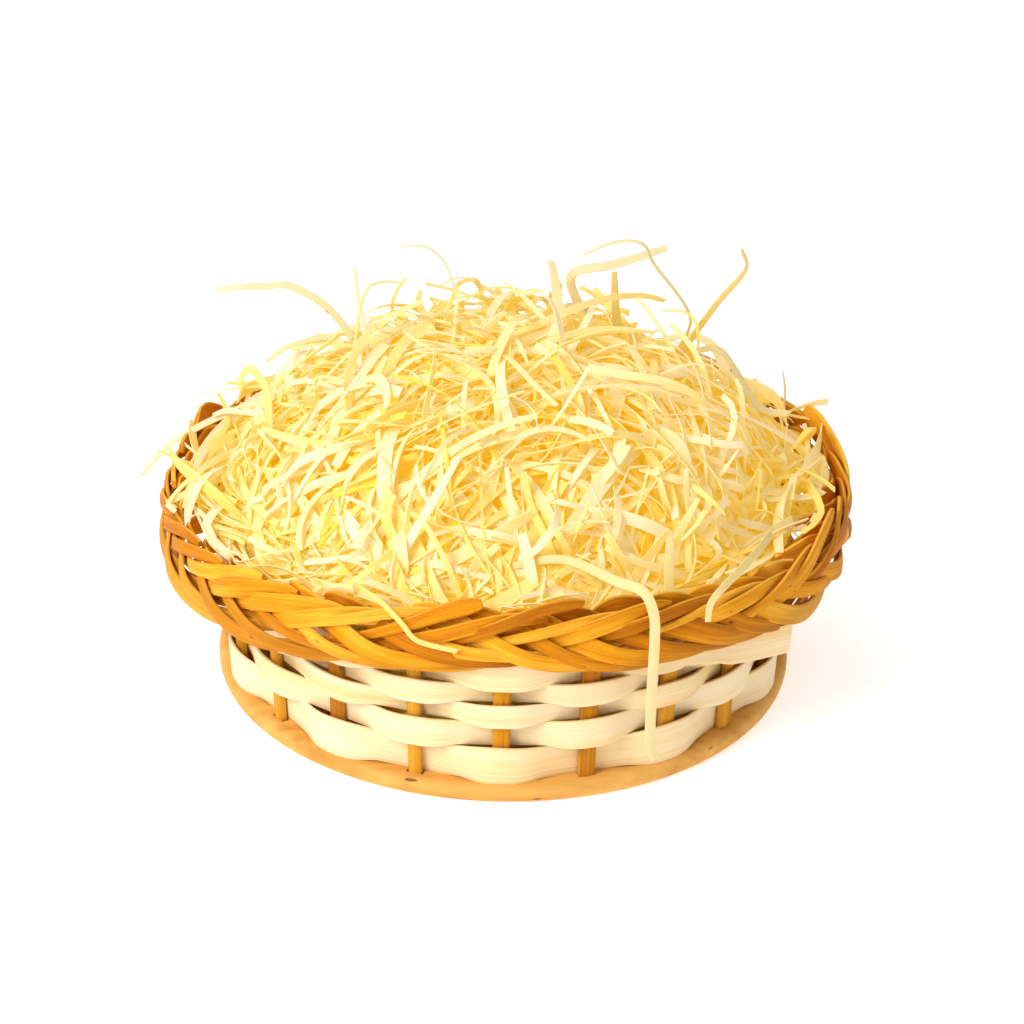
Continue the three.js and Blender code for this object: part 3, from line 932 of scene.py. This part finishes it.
def edge_lines(draw, count):
    """Lines that lie in the trough between the heap and the rim."""
    angle = draw.uniform(0, 2 * np.pi, count)
    room = rim_radius(angle) - HEAP_RADIUS
    reach = 0.86 + 0.14 * np.cos(angle) ** 2
    radius = HEAP_RADIUS - 0.010 + draw.uniform(0, 1, count) * (room * reach + 0.004)
    share = np.linspace(-0.5, 0.5, SHAVING_STEPS + 1)
    length = draw.uniform(0.03, 0.07, count)[:, None] * share
    lean = draw.normal(0, 0.5, count)[:, None]
    bow = draw.normal(0, 0.006, count)[:, None] * (share * share * 4 - 0.5)
    swept = angle[:, None] + length * np.cos(lean) / HEAP_RADIUS
    out = radius[:, None] - length * np.sin(lean) + bow
    base = WALL_TOP + 0.002 + draw.uniform(0, 0.015, count)[:, None]
    wave = draw.normal(0, 0.0025, count)[:, None] * np.cos(2 * np.pi * share)
    inner = np.clip(HEAP_RADIUS - out, 0, 0.03)
    return around(swept, out, base + wave + inner * 0.9)


SIDE_INSET = 0.0066  # how far inside the wall the filling's side lies


def side_lines(draw, count):
    """Lines round the filling's side, where it stands inside the wall."""
    angle = draw.uniform(0, 2 * np.pi, count)
    share = np.linspace(-0.5, 0.5, SHAVING_STEPS + 1)
    length = draw.uniform(0.03, 0.07, count)[:, None] * share
    lean = draw.normal(0, 0.45, count)[:, None]
    low = BOARD_TOP + HEAP_FLOOR_GAP + 0.003
    height = draw.uniform(low, WALL_TOP + 0.006, count)[:, None] + length * np.sin(lean)
    height = np.clip(height + 0.05 * length * share, low, WALL_TOP + 0.012)
    swept = angle[:, None] + length * np.cos(lean) / HEAP_RADIUS
    wall = wall_radius(np.minimum(height, WALL_TOP))
    radius = wall - SIDE_INSET - draw.uniform(0, 0.0012, count)[:, None]
    return around(swept, radius, height)


def under_lines(draw, count):
    """Lines across the filling's flat underside."""
    radius = (FOOT_RADIUS - SIDE_INSET - 0.003) * np.sqrt(draw.uniform(0, 1, count))
    angle = draw.uniform(0, 2 * np.pi, count)
    heading = draw.uniform(0, 2 * np.pi, count)
    share = np.linspace(-0.5, 0.5, SHAVING_STEPS + 1)
    length = draw.uniform(0.04, 0.09, count)[:, None] * share
    bow = draw.normal(0, 0.010, count)[:, None] * (share * share * 4 - 0.5)
    ahead, aside = np.cos(heading)[:, None], np.sin(heading)[:, None]
    x = (radius * np.sin(angle))[:, None] + length * ahead - bow * aside
    y = (radius * np.cos(angle))[:, None] + length * aside + bow * ahead
    reach = np.hypot(x, y)
    kept = np.minimum(1, (FOOT_RADIUS - SIDE_INSET - 0.0015) / np.maximum(reach, 1e-6))
    height = BOARD_TOP + HEAP_FLOOR_GAP - 0.0002 + draw.uniform(0, 0.0006, count)[:, None]
    return np.stack([x * kept, y * kept, height + np.zeros_like(x)], axis=-1)


CORE_INSET = 0.010  # how far inside the heap's outline its packed middle stays
CORE_DROP = 0.003


def wool_core(material):
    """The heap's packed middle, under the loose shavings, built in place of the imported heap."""
    bpy.ops.object.select_all(action="DESELECT")
    bpy.ops.mesh.primitive_uv_sphere_add(segments=96, ring_count=64, radius=1)
    core = bpy.context.object
    core.name = "wool_packed"
    floor = BOARD_TOP + HEAP_FLOOR_GAP
    inner = HEAP_RADIUS - CORE_INSET
    middle = HEAP_MIDDLE - CORE_DROP
    places = coordinates(core.data)
    draw = np.random.default_rng(5)
    flat = unit(places[:, :2] + 1e-9)
    reach = np.linalg.norm(places[:, :2], axis=1)
    rise = places[:, 2]
    upper = middle + (HEAP_RISE - CORE_INSET) * rise
    lower = middle + (middle - floor) * np.sign(rise) * np.abs(rise) ** 0.35
    height = np.where(rise > 0, upper, np.maximum(lower, floor))
    radius = inner * np.where(rise > 0, reach, np.minimum(reach ** 0.3, 1))
    radius = np.where(height < WALL_TOP, np.minimum(radius, wall_radius(height) - 0.0075), radius)
    moved = np.column_stack([flat * radius[:, None], height + draw.normal(0, 0.0006, len(places))])
    core.data.vertices.foreach_set("co", moved.ravel())
    set_grain_map(core.data, moved[:, 0] + moved[:, 2], 12 * (moved[:, 1] + moved[:, 2]))
    only(core)
    bpy.ops.object.shade_smooth()
    finish_piece(core, "filling", "wood_wool", material, "wood_wool_heap")


MM = 0.001


def over_heap(degrees, share, above):
    """A point at a share of the heap's radius, and millimetres above its dome."""
    radius = share * HEAP_RADIUS
    return around(math.radians(degrees), radius, heap_height(radius) + above * MM)


def by_rim(degrees, out, up):
    """A point millimetres out from the rim's middle line, and up from it."""
    angle = math.radians(degrees)
    return around(angle, rim_radius(angle) + out * MM, rim_height(angle) + up * MM)


LOOSE_SHREDS = {
    "shred_left_high": (0.8, [
        over_heap(-113, 1.21, 50), over_heap(-114, 1.12, 52), over_heap(-117, 1.03, 52),
        over_heap(-120, 0.95, 38), over_heap(-125, 0.83, 19), over_heap(-130, 0.74, 0),
    ]),
    "shred_over_left_rim": (0.75, [
        by_rim(-107, 16, -3), by_rim(-108, 7, 9), by_rim(-109, -3, 17),
        by_rim(-112, -14, 23), over_heap(-114, 0.96, 2.5),
    ]),
    "shred_top_flat": (1.0, [
        over_heap(135, 0.84, 39), over_heap(146, 0.72, 26), over_heap(158, 0.64, 19),
        over_heap(156, 0.64, 9), over_heap(149, 0.65, 2),
    ]),
    "shred_high_arch": (0.4, [
        over_heap(151, 0.57, 28), over_heap(142, 0.65, 35), over_heap(136, 0.72, 37),
        over_heap(134, 0.76, 31), over_heap(128, 0.87, 19), over_heap(130, 0.83, 2),
    ]),
    "shred_right_curl": (0.75, [
        over_heap(121, 1.02, 66), over_heap(121, 1.04, 58), over_heap(124, 0.95, 32),
        over_heap(129, 0.84, 3),
    ]),
    "shred_upright": (0.9, [
        over_heap(139, 0.6, 25), over_heap(138, 0.6, 13), over_heap(137, 0.61, 2),
    ]),
    "shred_draped": (1.0, [
        over_heap(2, 0.93, 2), over_heap(13, 0.98, 13), by_rim(22, -4, 17),
        by_rim(25.5, 2, 16), by_rim(26.3, 7, 10), by_rim(26.3, 8, 0),
        by_rim(26, 8, -20), by_rim(26.3, 7, -38), by_rim(27.6, 7, -43),
    ]),
}


SMALL_STRAYS = {
    "hair_top": (0.25, [
        over_heap(-142, 0.67, 32), over_heap(-149, 0.62, 30), over_heap(-155, 0.58, 23),
        over_heap(-157, 0.51, 11), over_heap(-155, 0.45, 3),
    ]),
    "stub_top_left": (0.45, [
        over_heap(-121, 0.68, 33), over_heap(-120, 0.66, 23), over_heap(-113, 0.59, 12),
        over_heap(-108, 0.55, 2),
    ]),
    "hair_left": (0.3, [
        over_heap(-131, 0.53, 22), over_heap(-127, 0.59, 24), over_heap(-121, 0.63, 23),
        over_heap(-112, 0.62, 10), over_heap(-108, 0.6, 0),
    ]),
    "loop_wide": (0.5, [
        over_heap(-149, 0.48, 0), over_heap(-157, 0.57, 8), over_heap(-160, 0.56, 15),
        over_heap(-166, 0.54, 16), over_heap(-169, 0.54, 10), over_heap(-169, 0.42, 2),
    ]),
    "curl_end": (0.7, [
        over_heap(-146, 0.60, 15), over_heap(-145, 0.60, 11), over_heap(-146, 0.56, 6),
        over_heap(-145, 0.43, 2),
    ]),
    "loop_middle": (0.5, [
        over_heap(171, 0.47, -4), over_heap(171, 0.57, 6), over_heap(168, 0.57, 9),
        over_heap(165, 0.58, 6), over_heap(163, 0.46, -3),
    ]),
    "loop_right": (0.5, [
        over_heap(160, 0.50, -3), over_heap(161, 0.60, 5), over_heap(157, 0.61, 8),
        over_heap(153, 0.60, 7), over_heap(143, 0.53, 0),
    ]),
    "arc_right": (0.8, [
        over_heap(120, 0.81, 8), over_heap(117, 0.91, 15), over_heap(109, 1.00, 18), by_rim(104, -15, 27),
    ]),
    "spike_right": (0.3, [by_rim(114, -11, 34), by_rim(114, -10, 25), by_rim(113, -12, 12)]),
    "upright_front": (1.0, [by_rim(36, -12, 26), by_rim(35, -10, 16), by_rim(34, -7, 6)]),
    "square_end_right": (1.3, [
        by_rim(72, -10, 14), by_rim(66, -14, 11), by_rim(59, -16, 8), over_heap(56, 0.96, -3),
    ]),
    "over_rim_right": (0.85, [
        by_rim(37, 6, 3), by_rim(38, 5, 9), by_rim(42, 3, 13), by_rim(51, -3, 15), by_rim(63, -10, 15),
    ]),
    "over_rim_left": (0.5, [
        by_rim(-38, -15, 16), by_rim(-29, -6, 13), by_rim(-23, 1, 13), by_rim(-18, 5, 8),
        by_rim(-15, 5, 2), by_rim(-8, 5, -1),
    ]),
    "curl_left": (0.9, [
        by_rim(-97, -22, 43), by_rim(-98, -22, 47), over_heap(-97, 0.98, 29), over_heap(-96, 0.94, 21),
        over_heap(-92, 0.90, 13), over_heap(-80, 0.90, 2),
    ]),
    "bow_left": (0.6, [
        over_heap(-108, 0.96, 20), over_heap(-112, 0.88, 16), over_heap(-118, 0.75, 10),
        over_heap(-116, 0.67, 2),
    ]),
    "stub_back_left": (0.7, [by_rim(-110, -7, 21), by_rim(-110, -13, 24), over_heap(-104, 0.93, 0)]),
}


STRAY_STEPS = 48


def loose_shreds(material):
    crowned = [0, 0.1, 0.1, 0]
    blank = straight_strip("shred_blank", SHRED_WIDTH, 0.0005, STRAY_STEPS, crowned, 0.0001)
    strays = [
        (node.replace("shred", "stray"), shape, [node]) for node, shape in LOOSE_SHREDS.items()
    ]
    strays += [(name, shape, []) for name, shape in SMALL_STRAYS.items()]
    for number, (name, (width, corners), nodes) in enumerate(strays):
        points = evenly_along(smooth_through(corners, 10), STRAY_STEPS + 1)
        facing = 4 * points * [1, 1, 0] + [0, -0.4, 0.25]
        taper = width * (1 - 0.35 * np.linspace(1, 0, STRAY_STEPS + 1) ** 4)
        piece = lay_along(blank, name, points, facing, taper, 0.8, 0.4, grain=150 + number)
        finish_piece(piece, "filling", "wood_wool", material, *nodes)
    bpy.data.objects.remove(blank)


# ---------------------------------------------------------------- floor, light and camera

def floor_and_light():
    bpy.ops.object.select_all(action="DESELECT")
    bpy.ops.mesh.primitive_plane_add(size=16)
    floor = bpy.context.object
    floor.name = "studio_floor"
    finish = Finish("studio floor", roughness=0.9, specular_ior_level=0.1)
    finish.shader.inputs["Base Color"].default_value = (0.93, 0.93, 0.94, 1)
    finish.shader.inputs["Emission Color"].default_value = (1, 1, 1, 1)
    finish.shader.inputs["Emission Strength"].default_value = 0.5
    floor.data.materials.append(finish.material)
    world = bpy.data.worlds.new("studio")
    bpy.context.scene.world = world
    world.use_nodes = True
    world.node_tree.nodes["Background"].inputs[0].default_value = (1, 1, 1, 1)
    world.node_tree.nodes["Background"].inputs[1].default_value = 0.56
    soft_light("key", (-0.92, -0.92, 1.05), 0.8, 22)
    soft_light("back", (-0.5, 1.1, 1.2), 0.8, 5)


def soft_light(name, place, size, power):
    data = bpy.data.lights.new(name, "AREA")
    data.shape = "DISK"
    data.size = size
    data.energy = power
    light = bpy.data.objects.new(name, data)
    bpy.context.scene.collection.objects.link(light)
    light.location = place
    towards = Vector((0, 0, 0.05)) - Vector(place)
    light.rotation_euler = towards.to_track_quat("-Z", "Y").to_euler()


def camera():
    elevation = math.radians(29.5)
    roll = math.radians(1.0)
    distance = 3.0
    aim = Vector((0.0021, 0, 0.0543))
    data = bpy.data.cameras.new("camera")
    data.lens = 327
    seen_from = aim + distance * Vector((0, -math.cos(elevation), math.sin(elevation)))
    view = (aim - seen_from).to_track_quat("-Z", "Y").to_matrix() @ Matrix.Rotation(roll, 3, "Z")
    obj = bpy.data.objects.new("camera", data)
    bpy.context.scene.collection.objects.link(obj)
    obj.matrix_world = Matrix.Translation(seen_from) @ view.to_4x4()
    bpy.context.scene.camera = obj


camera()
floor_and_light()
bpy.context.scene.view_settings.view_transform = "Standard"

willow = willow_finish()
veneer = strip_finish()
# copies of one wood wool: painted light on the shavings nearer the top, painted shade on the core, the
# deep layers and the filling's side and underside
wool = wool_finish("wood wool", 0.17, 0.15, (0.96, 0.87, 0.70))
shaded_deep_wool = wool_finish("shaded deep wood wool", 0.21, 0.7, (0.94, 0.68, 0.03))
base_board(board_finish())
plaited_stakes(willow)
for row in range(len(ROW_HEIGHTS)):
    woven_strip(row, veneer)
blank = shaving_blank()
wool_core(shaded_deep_wool)
heaped_wool(blank, wool, shaded_deep_wool)
# the strays get a third copy, with less painted glow and a darker tint
loose_shreds(wool_finish("loose wood wool", 0.08, 0.2, (0.72, 0.58, 0.14)))
bpy.data.objects.remove(blank)
